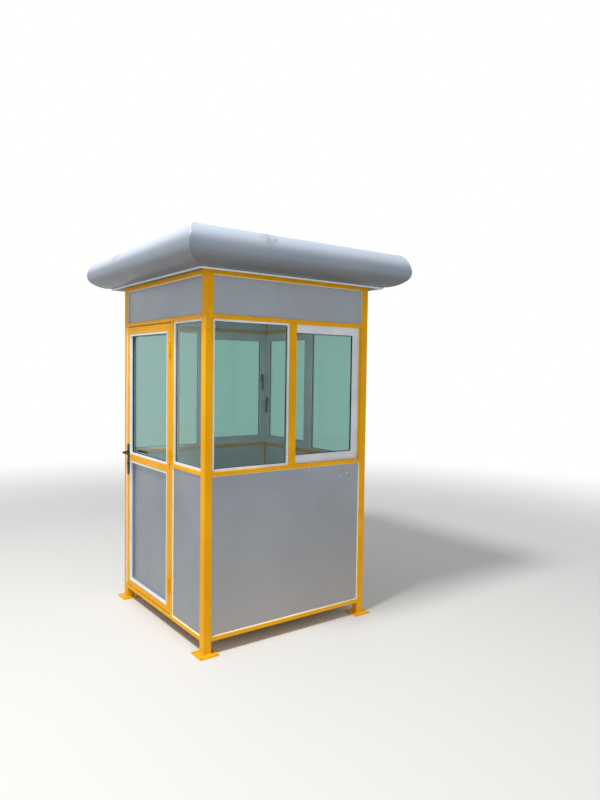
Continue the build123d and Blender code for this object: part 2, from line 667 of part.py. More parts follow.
def save_frame():
    centres = post_centres()
    for name, (cx, cy) in centres.items():
        save(f"corner_post_{name}", corner_post(cx, cy))
    save("foot_plates", [foot_plate(cx, cy) for cx, cy in centres.values()])
    save("top_rails", rails(TOP_RAIL_UNDERSIDE))
    save("head_rails", rails(HEAD_RAIL_UNDERSIDE))
    save("sill_rails", sill_rails())
    save("bottom_rails", rails(BOTTOM_RAIL_UNDERSIDE))
    save("window_mullions", [mullion(side) for side in UNIT_SIDES])
    save("door_jamb", door_jamb())
    save("door_stops", door_stops())


def save_panels():
    uppers = []
    beads = []
    for kind, side, x0, x1, z0, z1 in panel_bays():
        panel = on_wall(infill_panel(x0, x1, z0, z1), side)
        beads.append(on_wall(panel_bead(x0, x1, z0, z1), side))
        if kind == "upper_panel":
            uppers.append(panel)
        else:
            save(f"{kind}_{side}", panel)
    save("upper_panels", uppers)
    save("panel_beads", beads)


def save_glazing():
    beads = []
    for side, x0, x1 in fixed_bays():
        save(f"fixed_glass_{side}", fixed_glass(side, x0, x1))
        beads += fixed_beads(side, x0, x1)
    save("fixed_glass_beads", beads)
    for side in UNIT_SIDES:
        save(f"window_frame_{side}", window_frame(side))
    save("window_panes", [window_pane(side) for side in UNIT_SIDES])
    levels = (FRONT_HANDLE_ABOVE_SILL, RIGHT_HANDLE_ABOVE_SILL, BACK_HANDLE_ABOVE_SILL)
    save("window_handles", [window_handle(side, level) for side, level in zip(UNIT_SIDES, levels)])


def save_floor_and_roof():
    save("floor_panel", floor_board())
    save("floor_joists", floor_joists())
    save("ceiling_panel", ceiling_panel())
    save("roof_soffit", roof_soffit())
    save("eaves_strips", [eaves_strip(side) for side in WALL_TURNS])
    for side in WALL_TURNS:
        save(f"fascia_{side}", fascia(side))
    save("roof_curb", roof_curb())
    save("roof_top", roof_top())


def save_door():
    save("door_frame", door_frame())
    save("door_glass", door_glass())
    save("door_panel", door_panel())
    save("door_beads", door_beads())
    save("door_hinge_leaves", [door_hinge(centre) for centre in HINGE_CENTRES])
    save("jamb_hinge_leaves", [jamb_hinge(centre) for centre in HINGE_CENTRES])
    save("door_handle_set", [handle_side(0, -1), handle_side(DOOR_DEPTH, 1)])


os.makedirs("parts", exist_ok=True)
save_frame()
save_panels()
save_glazing()
save_floor_and_roof()
save_door()
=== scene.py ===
import bmesh
import bpy
import json
from math import atan2, cos, pi, radians, sin
from mathutils import Matrix, Vector, noise
from mathutils.bvhtree import BVHTree

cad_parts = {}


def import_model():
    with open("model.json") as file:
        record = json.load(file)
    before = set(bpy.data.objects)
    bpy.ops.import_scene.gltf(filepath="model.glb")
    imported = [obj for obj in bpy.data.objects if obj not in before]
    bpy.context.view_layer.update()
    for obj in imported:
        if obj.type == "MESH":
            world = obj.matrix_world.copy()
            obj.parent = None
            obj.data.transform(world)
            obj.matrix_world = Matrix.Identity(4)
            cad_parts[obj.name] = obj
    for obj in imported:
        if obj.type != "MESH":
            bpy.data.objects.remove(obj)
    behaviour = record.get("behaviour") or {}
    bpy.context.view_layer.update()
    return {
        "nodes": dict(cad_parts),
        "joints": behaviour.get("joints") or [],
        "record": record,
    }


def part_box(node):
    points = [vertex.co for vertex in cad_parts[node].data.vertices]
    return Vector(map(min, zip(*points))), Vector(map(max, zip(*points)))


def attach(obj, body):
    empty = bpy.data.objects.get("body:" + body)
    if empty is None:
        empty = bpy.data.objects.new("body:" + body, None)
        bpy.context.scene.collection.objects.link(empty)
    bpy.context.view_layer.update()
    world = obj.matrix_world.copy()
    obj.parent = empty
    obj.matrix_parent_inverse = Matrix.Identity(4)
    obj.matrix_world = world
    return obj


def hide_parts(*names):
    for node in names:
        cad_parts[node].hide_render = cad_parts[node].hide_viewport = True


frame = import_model()
NODES = frame["nodes"]

# Camera: where it stands, its turn, tilt and roll in degrees, and its focal length in pixels
CAMERA_PLACE = (-2.2794, -3.776, 1.6282)
CAMERA_YAW = -36.296
CAMERA_PITCH = -2.662
CAMERA_ROLL = 0.803
CAMERA_REACH = 200
FOCAL_PIXELS = 641.4
IMAGE_HEIGHT = 800
SENSOR = 36.0

# Light and floor
WORLD_LIGHT = 0.42
LAMPS = {
    "key": {"place": (-3.25, -1.2, 6.95), "size": 1.2, "power": 450.0},
    "fill": {"place": (-2.4, -6.4, 2.6), "size": 3.4, "power": 42.0},
}
LIGHT_AIM = (0.0, 0.0, 1.2)
FLOOR_FADE = (3.0, 8.0)
FLOOR_RADIUS = 40.0
FLOOR_GAP = 0.0005
FLOOR_ROUGHNESS = 0.7

# Colours, as they look on screen, 0 to 255
YELLOW = (240, 173, 7)
YELLOW_PALE = (245, 184, 18)
YELLOW_DEEP = (231, 162, 4)
PANEL_GREY = (142, 149, 157)
PANEL_GREY_DARK = (134, 140, 148)
# Painted warm reflection of the ground, low on the front wall
PANEL_GROUND_REFLECTION = (180, 169, 160)
# Inner faces: a paler inner sheet, lightened further as painted light for the dim inside
PANEL_INSIDE_PALE_AND_LIT = (232, 243, 247)
ROOF_GREY = (130, 140, 153)
ROOF_GREY_DARK = (121, 131, 144)
# Painted sky reflection on the roof's upward faces; the colour after it is painted shade on
# undersides and also soot at the seams
ROOF_SKY_REFLECTION = (188, 200, 215)
ROOF_SOOT_AND_UNDERSIDE_SHADE = (106, 102, 98)
ROOF_STAIN = (116, 114, 104)
CREAM = (240, 228, 198)
WHITE = (230, 238, 246)
WHITE_AGED = (215, 223, 232)
GLASS_TINT = (172, 204, 197)
GLASS_LIGHT = (247, 250, 249)
BLACK = (15, 15, 16)
BLACK_WORN = (58, 57, 56)
BOARD_GREY = (152, 152, 148)
BOARD_DARK = (122, 122, 119)
DUST_AND_EAVES_SHADE = (176, 160, 136)
GRIME_AND_DENT_SHADE = (88, 80, 68)
RUST = (108, 58, 24)
STEEL = (150, 150, 148)
RUBBER = (30, 32, 33)
SEAM_GREY = (96, 100, 104)
FLOOR = (226, 226, 224)

# Shading of edges, in metres: the wide rounding only steers where the painted sky reflection and
# the painted underside shade lie on the roof's folds
EDGE_ROUNDING = 0.0018
FOLD_ROUNDING = 0.01
HARDWARE_ROUNDING = 0.001
EDGE_SAMPLES = 4
FOLD_SAMPLES = 8
SHARP_ANGLE = 40
GLASS_IOR = 1.45

# Where a coat starts and where it is full: places and heights in metres
FRAME_DUST = (0.22, 0.0)
SHEET_DUST = (0.36, 0.09)
# Painted reflection of the ground on the front wall: the heights where it fades, and the places
# across the wall's face
GROUND_REFLECTION_HEIGHTS = (1.0, 0.1)
GROUND_REFLECTION_FRONT = (-0.5, -0.58)
# Painted shade on the sealant under the eaves
EAVES_SHADE = (1.85, 1.95)
INDOORS = (0.57, 0.568)
UNDER_CEILING = (2.18, 2.178)

# The same by how far a face looks up: 1 on top, 0 upright, -1 underneath; the first two set painted
# light, a sky reflection on top and shade underneath
SKY_REFLECTION_FACING = (0.04, 0.55)
UNDERSIDE_SHADE_FACING = (-0.1, -0.8)
STAIN_FACING = (0.7, 0.99)

# Marks on the front panel under the sill: centre and radii in metres, and how much they show
SCUFFS = (
    ((0.138, -0.592, 1.003), (0.011, 0.02, 0.015), 0.14),
    ((0.392, -0.592, 0.946), (0.015, 0.02, 0.009), 0.2),
    ((0.452, -0.592, 0.958), (0.016, 0.02, 0.01), 0.2),
)
# A dark spot painted as the shade of a dent; the sheet has no dent in its shape
DENT_SHADE = ((0.464, -0.592, 0.945), (0.008, 0.02, 0.007))
DENT_SHADE_SHARE = 0.4

# Dirt at the seams of the roof edge: each seam's place, and the reach along the edge and across
SEAM_DIRT = ((-0.3, -0.76), (0.76, -0.3), (0.3, 0.76), (-0.76, 0.3))
SEAM_DIRT_LEVEL = 2.345
SEAM_DIRT_REACH = (0.075, 0.06)

# Sizes of the solids that the added pieces follow, in metres
WALLS = ("front", "right", "back", "left")
HALF = -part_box("corner_post_front_left")[0].x
POST = 0.05
PLATE_TOP = 0.006
BEAD_WIDTH = 0.013
UNIT_BORDER = 0.054
UNIT_FACE_BORDER = 0.038
EAVES_SHOWING = 0.012
ROOF_TOP_EDGE = 2.387

# How far behind a wall's face its own points lie at most, and those of its window unit
WALL_DEPTH = 0.0495
UNIT_DEPTH = 0.099

# Hinges: a leaf's height and thickness, and the least gap in height that parts two hinges
HINGE_LENGTH = 0.086
HINGE_PLATE = 0.0025
HINGE_APART = 0.2

# Roof edge: its seam from the wall's middle, the middle of its nose (y, z), and its flange's y
SEAM_PLACE = 0.3
NOSE_MIDDLE = (-0.125, 2.275)
FLANGE_LINE = -0.0745

# Its outer curve: how far out its faces lie, how near the seam its points, and what a cut is
OUTER_SKIN = 0.02
SEAM_NEAR = 0.001
CUT_LOOKS_ALONG = 0.5

# Sealant round the panels: (inset, depth behind the panel's face), and the wobble of hand work
SEALANT_SECTION = ((0.0, 0.0002), (0.0, -0.0078), (0.0007, -0.0052), (0.0015, -0.003),
                   (0.0026, -0.0012), (0.0038, -0.0003), (0.0038, 0.0002))
SEALANT_WOBBLE = 0.0004
WOBBLE_STEP = 0.03
WOBBLE_PITCH = 14
WOBBLE_APART = 9

# Gaskets: width and height, and where the section's shoulder and crest lie as shares of them
GASKET = (0.0026, 0.0022)
UNIT_GASKET = (0.003, 0.004)
GASKET_SHOULDER = 0.5
GASKET_CREST = 0.4

# Outer beads of the door: almost flush, with a nose of (step past the width, depth) pairs
DOOR_BEAD_WIDTH = 0.0115
DOOR_BEAD_FACE = 0.001
DOOR_BEAD_NOSE = ((-0.0012, 0.0), (-0.0003, 0.0004), (0.0, 0.0013))

# Inner beads of the door, and the packing at the outer ones: its depth, and steps past the width
DOOR_INNER_BEAD_WIDTH = 0.018
DOOR_INNER_BEAD_CHAMFER = 0.001
DOOR_PACKING = 0.012
DOOR_PACKING_EDGES = (-0.001, 0.0006, 0.0012)

# Latch strip: width, lap past the post's edge, and (step, depth) pairs at its near and far edge
LATCH_STRIP_WIDTH = 0.0105
LATCH_STRIP_LAP = 0.0025
LATCH_STRIP_NEAR = ((0.0, 0.004), (0.0, -0.0008), (-0.0012, -0.0022))
LATCH_STRIP_FAR = ((0.0015, -0.0022), (0.0, -0.0005), (0.0, 0.004))

# Hairlines in the corners of frames and beads: where they start and stop, and their section
HAIRLINE_START = 0.0008
HAIRLINE_SHORT = 0.0004
HAIRLINE_SECTION = ((-0.0004, -0.0003), (0.0004, -0.0003), (0.0003, 0.0001), (-0.0003, 0.0001))
UNIT_LINE_SHORT = 0.0005

# Screws: the head's (radius, rise) as shares of a screw's own, and each kind's radius and rise
SCREW_HEAD = ((1.0, -0.2), (1.0, 0.35), (0.86, 0.75), (0.6, 1.0), (0.36, 1.0), (0.3, 0.45))
SCREW_SIDES = 12
HINGE_SCREW = (0.0038, 0.0016)
HINGE_SCREW_OUT = 0.0158
HINGE_SCREW_SHARES = (0.14, 0.5, 0.86)
LOCK_SCREW = (0.0042, 0.0016)
LOCK_SCREW_IN = 0.014
ROOF_SCREW = (0.006, 0.003)
ROOF_SCREW_IN = 0.025
ROOF_SCREW_OFF_CORNER = 0.06
ROOF_SCREWS = 8

# Door handles: (inset, rise) of the back plate, (radius, rise) of turned parts
TURNED_SIDES = 24
LOCK_PLATE = (0.036, 0.214)
LOCK_PLATE_CORNER = 0.009
LOCK_PLATE_SECTION = ((0.0, 0.0), (0.0, 0.0028), (0.0006, 0.0037), (0.0016, 0.004))
LOCK_PLATE_RISE = 0.004
CORNER_STEPS = 4
COLLAR = ((0.0145, -0.0005), (0.0145, 0.004), (0.013, 0.0055), (0.0085, 0.0062))
NECK_RADIUS = 0.0082
NECK_SHORT = 0.016
LEVER_SIDES = 16
LEVER_UP = 0.048
LEVER_LENGTH = 0.105
LEVER_ROOT = 0.022
LEVER_AXIS_IN = 0.0075
LEVER_BEND = 0.011
LEVER_BEND_STEPS = 6
LEVER_BOW = 0.0035
LEVER_SHARES = (0.15, 0.35, 0.55, 0.75, 0.9, 0.97, 1.0)
LEVER_RADII = (0.0072,) * 9 + (0.0071, 0.007, 0.0069, 0.0066, 0.0058, 0.003)
LOCK_DOWN = 0.03
LOCK_BARREL = ((0.0085, -0.0005), (0.0085, 0.0042), (0.0076, 0.005), (0.0052, 0.005),
               (0.005, 0.0044))
KEY_SLOT = (0.002, 0.0078)
KEY_SLOT_CORNER = 0.0009
KEY_SLOT_RISES = (0.004, 0.0047)

# Welds at the feet: (out from the post, rise above the plate), steps a side, and the ripple
WELD_SECTION = ((0.0, 0.0045), (0.002, 0.0035), (0.0036, 0.0018), (0.0044, -0.0004),
                (0.0, -0.0004))
WELD_STEPS = 22
WELD_RIPPLE = 0.12
WELD_RIPPLE_TURN = 2.1
WELD_WOBBLE = 0.1
WELD_WOBBLE_STEP = 0.07
WELD_WOBBLE_PITCH = 9

# Joints of the roof: each bead's radius and how far its middle is sunk, and the eaves' section
SEAM_BEAD = (0.0012, 0.0013)
MITRE_BEAD = (0.0013, 0.0015)
EAVES_JOINT_SECTION = ((0.0, 0.0022), (-0.0022, 0.0016), (-0.003, 0.0), (-0.0022, -0.0016),
                       (0.0, -0.0022))

# Weather seal: how far in from the stops' edges and up from their foot, and (across, depth)
SEAL_IN = 0.009
SEAL_FOOT = 0.004
SEAL_SECTION = ((-0.004, 0.0), (-0.004, -0.0012), (-0.002, -0.003), (0.002, -0.003),
                (0.004, -0.0012), (0.004, 0.0))


def linear(colour):
    """A screen colour of 0 to 255 as the linear colour that shaders take."""
    parts = [c / 255 for c in colour]
    return tuple(c / 12.92 if c <= 0.04045 else ((c + 0.055) / 1.055) ** 2.4
                 for c in parts) + (1.0,)


class Shade:
    """A material with one Principled shader and short calls for the nodes that feed it."""

    def __init__(self, name):
        self.material = bpy.data.materials.new(name)
        self.material.use_nodes = True
        self.nodes = self.material.node_tree.nodes
        self.nodes.clear()
        self.output = self.nodes.new("ShaderNodeOutputMaterial")
        self.shader = self.nodes.new("ShaderNodeBsdfPrincipled")
        self.link(self.shader.outputs[0], self.output.inputs["Surface"])
        self.place = self.nodes.new("ShaderNodeTexCoord").outputs["Object"]

    def link(self, source, target):
        """Join an output to an input."""
        self.material.node_tree.links.new(source, target)

    def feed(self, socket, value):
        """Give an input a plain value, or join it to the output that value is."""
        if isinstance(value, bpy.types.NodeSocket):
            self.link(value, socket)
        else:
            socket.default_value = value

    def math(self, operation, a, b=0.0):
        """A number from one or two others."""
        node = self.nodes.new("ShaderNodeMath")
        node.operation = operation
        self.feed(node.inputs[0], a)
        self.feed(node.inputs[1], b)
        return node.outputs[0]

    def times(self, a, b):
        """Two numbers multiplied."""
        return self.math("MULTIPLY", a, b)

    def most(self, a, b):
        """The larger of two numbers."""
        return self.math("MAXIMUM", a, b)

    def vector(self, operation, a, b=None):
        """The node of a vector operation on a and, if given, b."""
        node = self.nodes.new("ShaderNodeVectorMath")
        node.operation = operation
        self.link(a, node.inputs[0])
        if b is not None:
            self.feed(node.inputs[1], b)
        return node

    def length(self, vector):
        """A vector's length."""
        return self.vector("LENGTH", vector).outputs["Value"]

    def part(self, vector, letter):
        """One of a vector's three parts."""
        node = self.nodes.new("ShaderNodeSeparateXYZ")
        self.link(vector, node.inputs[0])
        return node.outputs[letter]

    def axis(self, letter):
        """The place along one axis, in metres."""
        return self.part(self.place, letter)

    def stretch(self, x, y, z):
        """The place, scaled along each axis."""
        return self.vector("MULTIPLY", self.place, (x, y, z)).outputs[0]

    def noise(self, scale, detail=3.0, rough=0.55, place=None):
        """Fractal noise of 0 to 1."""
        node = self.nodes.new("ShaderNodeTexNoise")
        self.link(place or self.place, node.inputs["Vector"])
        node.inputs["Scale"].default_value = scale
        node.inputs["Detail"].default_value = detail
        node.inputs["Roughness"].default_value = rough
        return node.outputs["Fac"]

    def ramp(self, value, low, high, base=0.0, full=1.0):
        """A smooth step from base, where value is at low, to full, where it is at high."""
        node = self.nodes.new("ShaderNodeMapRange")
        node.interpolation_type = "SMOOTHSTEP"
        for socket, number in zip(node.inputs, (value, low, high, base, full)):
            self.feed(socket, number)
        return node.outputs[0]

    def patches(self, scale, low, high, base=0.0, full=1.0, detail=3.0, rough=0.55, place=None):
        """Noise cut to patches: base where it is at low, full where it is at high."""
        return self.ramp(self.noise(scale, detail, rough, place), low, high, base, full)

    def coat(self, under, tint, share):
        """The colour under with a share of a screen colour over it."""
        node = self.nodes.new("ShaderNodeMix")
        node.data_type = "RGBA"
        self.feed(node.inputs["Factor"], share)
        colours = [socket for socket in node.inputs if socket.type == "RGBA"]
        self.feed(colours[0], under)
        self.feed(colours[1], linear(tint))
        return next(socket for socket in node.outputs if socket.type == "RGBA")

    def bevel(self, radius):
        """The normal with edges rounded by radius."""
        node = self.nodes.new("ShaderNodeBevel")
        node.samples = EDGE_SAMPLES if radius < FOLD_ROUNDING else FOLD_SAMPLES
        node.inputs["Radius"].default_value = radius
        return node.outputs[0]

    def blot(self, centre, radii):
        """1 in the middle of an ellipsoid about centre, falling to 0 at its edge."""
        spot = self.vector("SUBTRACT", self.place, centre).outputs[0]
        spot = self.vector("DIVIDE", spot, radii).outputs[0]
        return self.ramp(self.length(spot), 1.0, 0.5)

    def edges(self, rounded, low, high):
        """1 near the piece's sharp edges, where the rounded normal leaves the flat one."""
        flat = self.nodes.new("ShaderNodeNewGeometry").outputs["Normal"]
        likeness = self.vector("DOT_PRODUCT", flat, rounded).outputs["Value"]
        return self.ramp(self.math("SUBTRACT", 1.0, likeness), low, high)

    def bump(self, height, distance, normal=None):
        """The normal of a surface that rises by up to distance where height is 1."""
        node = self.nodes.new("ShaderNodeBump")
        node.inputs["Distance"].default_value = distance
        self.link(height, node.inputs["Height"])
        if normal:
            self.link(normal, node.inputs["Normal"])
        return node.outputs[0]

    def finish(self, colour, roughness, normal=None, **values):
        """Feed the shader and give back the material."""
        self.feed(self.shader.inputs["Base Color"], colour)
        self.feed(self.shader.inputs["Roughness"], roughness)
        if normal:
            self.link(normal, self.shader.inputs["Normal"])
        for name, value in values.items():
            self.shader.inputs[name.replace("_", " ")].default_value = value
        return self.material

    def blend(self, share, other):
        """Show a second shader over the first by share, and give back the material."""
        both = self.nodes.new("ShaderNodeMixShader")
        self.link(share, both.inputs[0])
        self.link(self.shader.outputs[0], both.inputs[1])
        self.link(other.outputs[0], both.inputs[2])
        self.link(both.outputs[0], self.output.inputs["Surface"])
        return self.material


def frame_paint():
    """Golden yellow paint on steel: orange peel, dust low down, chips on edges."""
    s = Shade("frame_paint")
    colour = s.coat(linear(YELLOW), YELLOW_DEEP, s.patches(3.0, 0.3, 0.7))
    colour = s.coat(colour, YELLOW_PALE, s.patches(11.0, 0.5, 0.8, detail=4))
    streaks = s.patches(1.0, 0.62, 0.85, full=0.12, detail=4, place=s.stretch(40, 40, 1.6))
    colour = s.coat(colour, GRIME_AND_DENT_SHADE, streaks)
    low = s.ramp(s.axis("Z"), *FRAME_DUST)
    dusty = s.times(low, s.patches(26.0, 0.35, 0.8, detail=5))
    colour = s.coat(colour, DUST_AND_EAVES_SHADE, s.times(dusty, 0.18))
    colour = s.coat(colour, YELLOW_PALE, s.times(low, 0.5))
    rounded = s.bevel(EDGE_ROUNDING)
    chips = s.times(s.edges(rounded, 0.02, 0.2), s.patches(70.0, 0.66, 0.7, detail=4))
    specks = s.patches(160.0, 0.8, 0.82, detail=2)
    worn = s.most(chips, specks)
    colour = s.coat(colour, RUST, s.times(worn, 0.6))
    roughness = s.patches(14.0, 0.3, 0.7, 0.3, 0.42, detail=4)
    roughness = s.math("ADD", roughness, s.times(s.most(dusty, worn), 0.35))
    peel = s.math("ADD", s.noise(420.0, 2), s.times(worn, -1.5))
    return s.finish(colour, roughness, s.bump(peel, 0.0002, rounded), Specular_IOR_Level=0.1)


def coated_sheet(name, pale, dark, gloss, metal):
    """Silver-grey coated sheet with drip marks, scuffs, dust, soot at the seams and stains, and
    with painted light: a pale inside that is partly painted light, a painted ground reflection low
    on the front wall, the painted shade of a dent, a painted sky reflection on what looks up and
    painted shade on what looks down.

    gloss is the roughness where the sheet is smoothest and where it is dullest when clean.
    """
    s = Shade(name)
    colour = s.coat(linear(pale), dark, s.patches(1.7, 0.3, 0.7))
    outmost = s.most(*[s.math("ABSOLUTE", s.axis(letter)) for letter in "XY"])
    # Inner faces pale: partly a paler inner sheet, partly painted light that brightens the dim
    # inside
    indoors = s.times(s.ramp(outmost, *INDOORS), s.ramp(s.axis("Z"), *UNDER_CEILING))
    colour = s.coat(colour, PANEL_INSIDE_PALE_AND_LIT, indoors)
    flake = s.noise(900.0, 2)
    colour = s.coat(colour, WHITE, s.ramp(flake, 0.42, 0.62, 0.0, 0.12))
    drips = s.patches(1.0, 0.55, 0.85, full=0.09, detail=5, place=s.stretch(26, 26, 0.8))
    colour = s.coat(colour, GRIME_AND_DENT_SHADE, drips)

    # Dust near the ground, and on the front wall alone a painted warm reflection of the ground,
    # strongest low down
    low = s.ramp(s.axis("Z"), *SHEET_DUST)
    dusty = s.times(low, s.patches(18.0, 0.3, 0.75, full=0.3, detail=5))
    colour = s.coat(colour, DUST_AND_EAVES_SHADE, dusty)
    ground_reflection = s.times(s.ramp(s.axis("Z"), *GROUND_REFLECTION_HEIGHTS, 0.0, 0.42),
                       s.ramp(s.axis("Y"), *GROUND_REFLECTION_FRONT))
    colour = s.coat(colour, PANEL_GROUND_REFLECTION, ground_reflection)

    # Scuffs, and a dark spot painted as the shade of a dent
    scuff = s.patches(9.0, 0.72, 0.78, full=0.22, detail=6, rough=0.7, place=s.stretch(1, 1, 3))
    for centre, radii, share in SCUFFS:
        scuff = s.most(scuff, s.times(s.blot(centre, radii), share))
    colour = s.coat(colour, WHITE, scuff)
    colour = s.coat(colour, GRIME_AND_DENT_SHADE, s.times(s.blot(*DENT_SHADE), DENT_SHADE_SHARE))

    # Painted light by how a face looks: a pale bluish painted sky reflection on what looks up, and
    # painted shade on what looks down
    facing = s.part(s.bevel(FOLD_ROUNDING), "Z")
    colour = s.coat(colour, ROOF_SKY_REFLECTION, s.ramp(facing, *SKY_REFLECTION_FACING))
    colour = s.coat(colour, ROOF_SOOT_AND_UNDERSIDE_SHADE, s.ramp(facing, *UNDERSIDE_SHADE_FACING, 0.0, 0.55))

    # Dirt beside the seams of the roof edge
    beside = 0.0
    along, across = SEAM_DIRT_REACH
    for x, y in SEAM_DIRT:
        radii = (along, across, across) if abs(x) < abs(y) else (across, along, across)
        beside = s.most(beside, s.blot((x, y, SEAM_DIRT_LEVEL), radii))
    beside = s.times(beside, s.patches(24.0, 0.35, 0.65, 0.1, 0.4, detail=5, rough=0.6))
    colour = s.coat(colour, ROOF_SOOT_AND_UNDERSIDE_SHADE, beside)

    # Stains where rain stands
    pools = s.most(s.patches(3.5, 0.42, 0.72, 0.18, 0.5, detail=6, rough=0.65),
                   s.patches(55.0, 0.7, 0.78, full=0.5))
    stains = s.times(pools, s.ramp(facing, *STAIN_FACING))
    colour = s.coat(colour, ROOF_STAIN, stains)

    roughness = s.patches(5.0, 0.3, 0.7, *gloss, detail=4)
    dull = s.most(stains, s.most(dusty, scuff))
    roughness = s.math("ADD", roughness, s.times(dull, 0.5))
    waves = s.bump(s.noise(2.6, 1), 0.003, s.bevel(EDGE_ROUNDING))
    return s.finish(colour, roughness, s.bump(flake, 0.00006, waves), Metallic=metal)


def white_trim():
    """White powder coat with faint grime."""
    s = Shade("white_trim")
    colour = s.coat(linear(WHITE), WHITE_AGED, s.patches(6.0, 0.35, 0.7, detail=4))
    colour = s.coat(colour, GRIME_AND_DENT_SHADE, s.patches(38.0, 0.62, 0.85, full=0.22, detail=5))
    roughness = s.patches(20.0, 0.3, 0.7, 0.28, 0.42)
    peel = s.bump(s.noise(700.0, 2), 0.0001, s.bevel(EDGE_ROUNDING))
    return s.finish(colour, roughness, peel)


def sealant():
    """Tooled cream sealant, a little dirty, and darker high up under the eaves as painted shade of
    the roof's overhang.
    """
    s = Shade("sealant")
    colour = s.coat(linear(CREAM), DUST_AND_EAVES_SHADE, s.patches(30.0, 0.5, 0.85, full=0.5, detail=4))
    # Painted shade of the overhang: darker towards the eaves
    colour = s.coat(colour, DUST_AND_EAVES_SHADE, s.ramp(s.axis("Z"), *EAVES_SHADE, 0.0, 0.4))
    roughness = s.patches(40.0, 0.3, 0.7, 0.45, 0.65)
    return s.finish(colour, roughness, s.bump(s.noise(120.0), 0.0006))


def glass():
    """Green-tinted clear pane under a faint film; lamps and bounced light pass straight through."""
    s = Shade("glass")
    s.finish(linear(GLASS_TINT), s.patches(12.0, 0.3, 0.8, 0.0, 0.03), IOR=GLASS_IOR)
    film = s.patches(7.0, 0.4, 0.9, 1.0, 0.975, detail=5, rough=0.7)
    s.feed(s.shader.inputs["Transmission Weight"], film)
    clear = s.nodes.new("ShaderNodeBsdfTransparent")
    clear.inputs["Color"].default_value = linear(GLASS_LIGHT)
    rays = s.nodes.new("ShaderNodeLightPath").outputs
    return s.blend(s.most(rays["Is Shadow Ray"], rays["Is Diffuse Ray"]), clear)


def black_hardware():
    """Satin black coat, worn grey where hands touch it."""
    s = Shade("black_hardware")
    rounded = s.bevel(HARDWARE_ROUNDING)
    rubbed = s.times(s.edges(rounded, 0.02, 0.25), s.patches(90.0, 0.45, 0.7))
    colour = s.coat(linear(BLACK), BLACK_WORN, s.times(rubbed, 0.7))
    roughness = s.patches(60.0, 0.3, 0.7, 0.42, 0.58)
    grain = s.bump(s.noise(1500.0, 2), 0.00008, rounded)
    return s.finish(colour, roughness, grain, Specular_IOR_Level=0.35)


def floor_board():
    """Grey coated board with speckle and dust."""
    s = Shade("floor_board")
    colour = s.coat(linear(BOARD_GREY), BOARD_DARK, s.patches(260.0, 0.45, 0.6, detail=2))
    colour = s.coat(colour, DUST_AND_EAVES_SHADE, s.patches(5.0, 0.4, 0.8, full=0.6, detail=5))
    roughness = s.patches(30.0, 0.3, 0.7, 0.5, 0.75)
    return s.finish(colour, roughness, s.bump(s.noise(90.0, 4), 0.0006))


def rubber():
    """Dusty black rubber."""
    s = Shade("rubber")
    colour = s.coat(linear(RUBBER), DUST_AND_EAVES_SHADE, s.patches(60.0, 0.55, 0.85, full=0.4, detail=4))
    return s.finish(colour, 0.6, s.bump(s.noise(300.0, 2), 0.0002))


def grey_sealant():
    """Weathered grey sealant in the roof's joints."""
    s = Shade("grey_sealant")
    colour = s.coat(linear(SEAM_GREY), GRIME_AND_DENT_SHADE, s.patches(40.0, 0.4, 0.8, detail=4))
    roughness = s.patches(60.0, 0.3, 0.7, 0.5, 0.7)
    return s.finish(colour, roughness, s.bump(s.noise(240.0, 2), 0.0003))


def steel():
    """Zinc-plated screw heads."""
    s = Shade("steel")
    colour = s.coat(linear(STEEL), RUST, s.patches(220.0, 0.5, 0.8, full=0.5))
    roughness = s.patches(300.0, 0.3, 0.7, 0.3, 0.5)
    return s.finish(colour, roughness, s.bump(s.noise(900.0), 0.0001), Metallic=0.9)


MATERIALS = {
    "frame_paint": frame_paint(),
    "grey_panel": coated_sheet("grey_panel", PANEL_GREY, PANEL_GREY_DARK, (0.32, 0.4), 0.6),
    "roof_sheet": coated_sheet("roof_sheet", ROOF_GREY, ROOF_GREY_DARK, (0.34, 0.42), 0.4),
    "sealant": sealant(),
    "white_trim": white_trim(),
    "glass": glass(),
    "black_hardware": black_hardware(),
    "floor_board": floor_board(),
    "rubber": rubber(),
    "grey_sealant": grey_sealant(),
    "steel": steel(),
}


def dress_nodes():
    """Each CAD node takes the material of its slot."""
    for part in frame["record"]["subparts"]:
        mesh = NODES[part["node"]].data
        mesh.materials.clear()
        mesh.materials.append(MATERIALS[part["material_slot"]])


def quarter_turns(count):
    """A rotation about the vertical by count right angles."""
    return Matrix.Rotation(count * pi / 2, 3, "Z")


def on_wall(side, x, y, z):
    """A world point from the wall's own: x along it, y inward from its face, z up."""
    return quarter_turns(WALLS.index(side)) @ Vector((x, y - HALF, z))


def from_wall(side, point):
    """The wall's own x, y and z of a world point."""
    return quarter_turns(-WALLS.index(side)) @ point + Vector((0, HALF, 0))


def direction(side, x, y):
    """The world direction of a step of x along a wall and y inward."""
    return on_wall(side, x, y, 0) - on_wall(side, 0, 0, 0)


def wall_box(node, side, depth=WALL_DEPTH):
    """Bounds of a node's points less than depth behind a wall's face: x0, x1, y0, y1, z0, z1."""
    spots = [from_wall(side, v.co) for v in NODES[node].data.vertices]
    spots = [p for p in spots if p.y < depth]
    return [pick(p[axis] for p in spots) for axis in range(3) for pick in (min, max)]


def node_border(node, side, depth=WALL_DEPTH):
    """A node's rectangle on a wall (x0, x1, z0, z1), and the y of its front and back."""
    x0, x1, y0, y1, z0, z1 = wall_box(node, side, depth)
    return (x0, x1, z0, z1), y0, y1


def jitter(point, pitch):
    """Smooth noise of about -1 to 1 that repeats with the place."""
    return 2 * noise.noise(point * pitch)


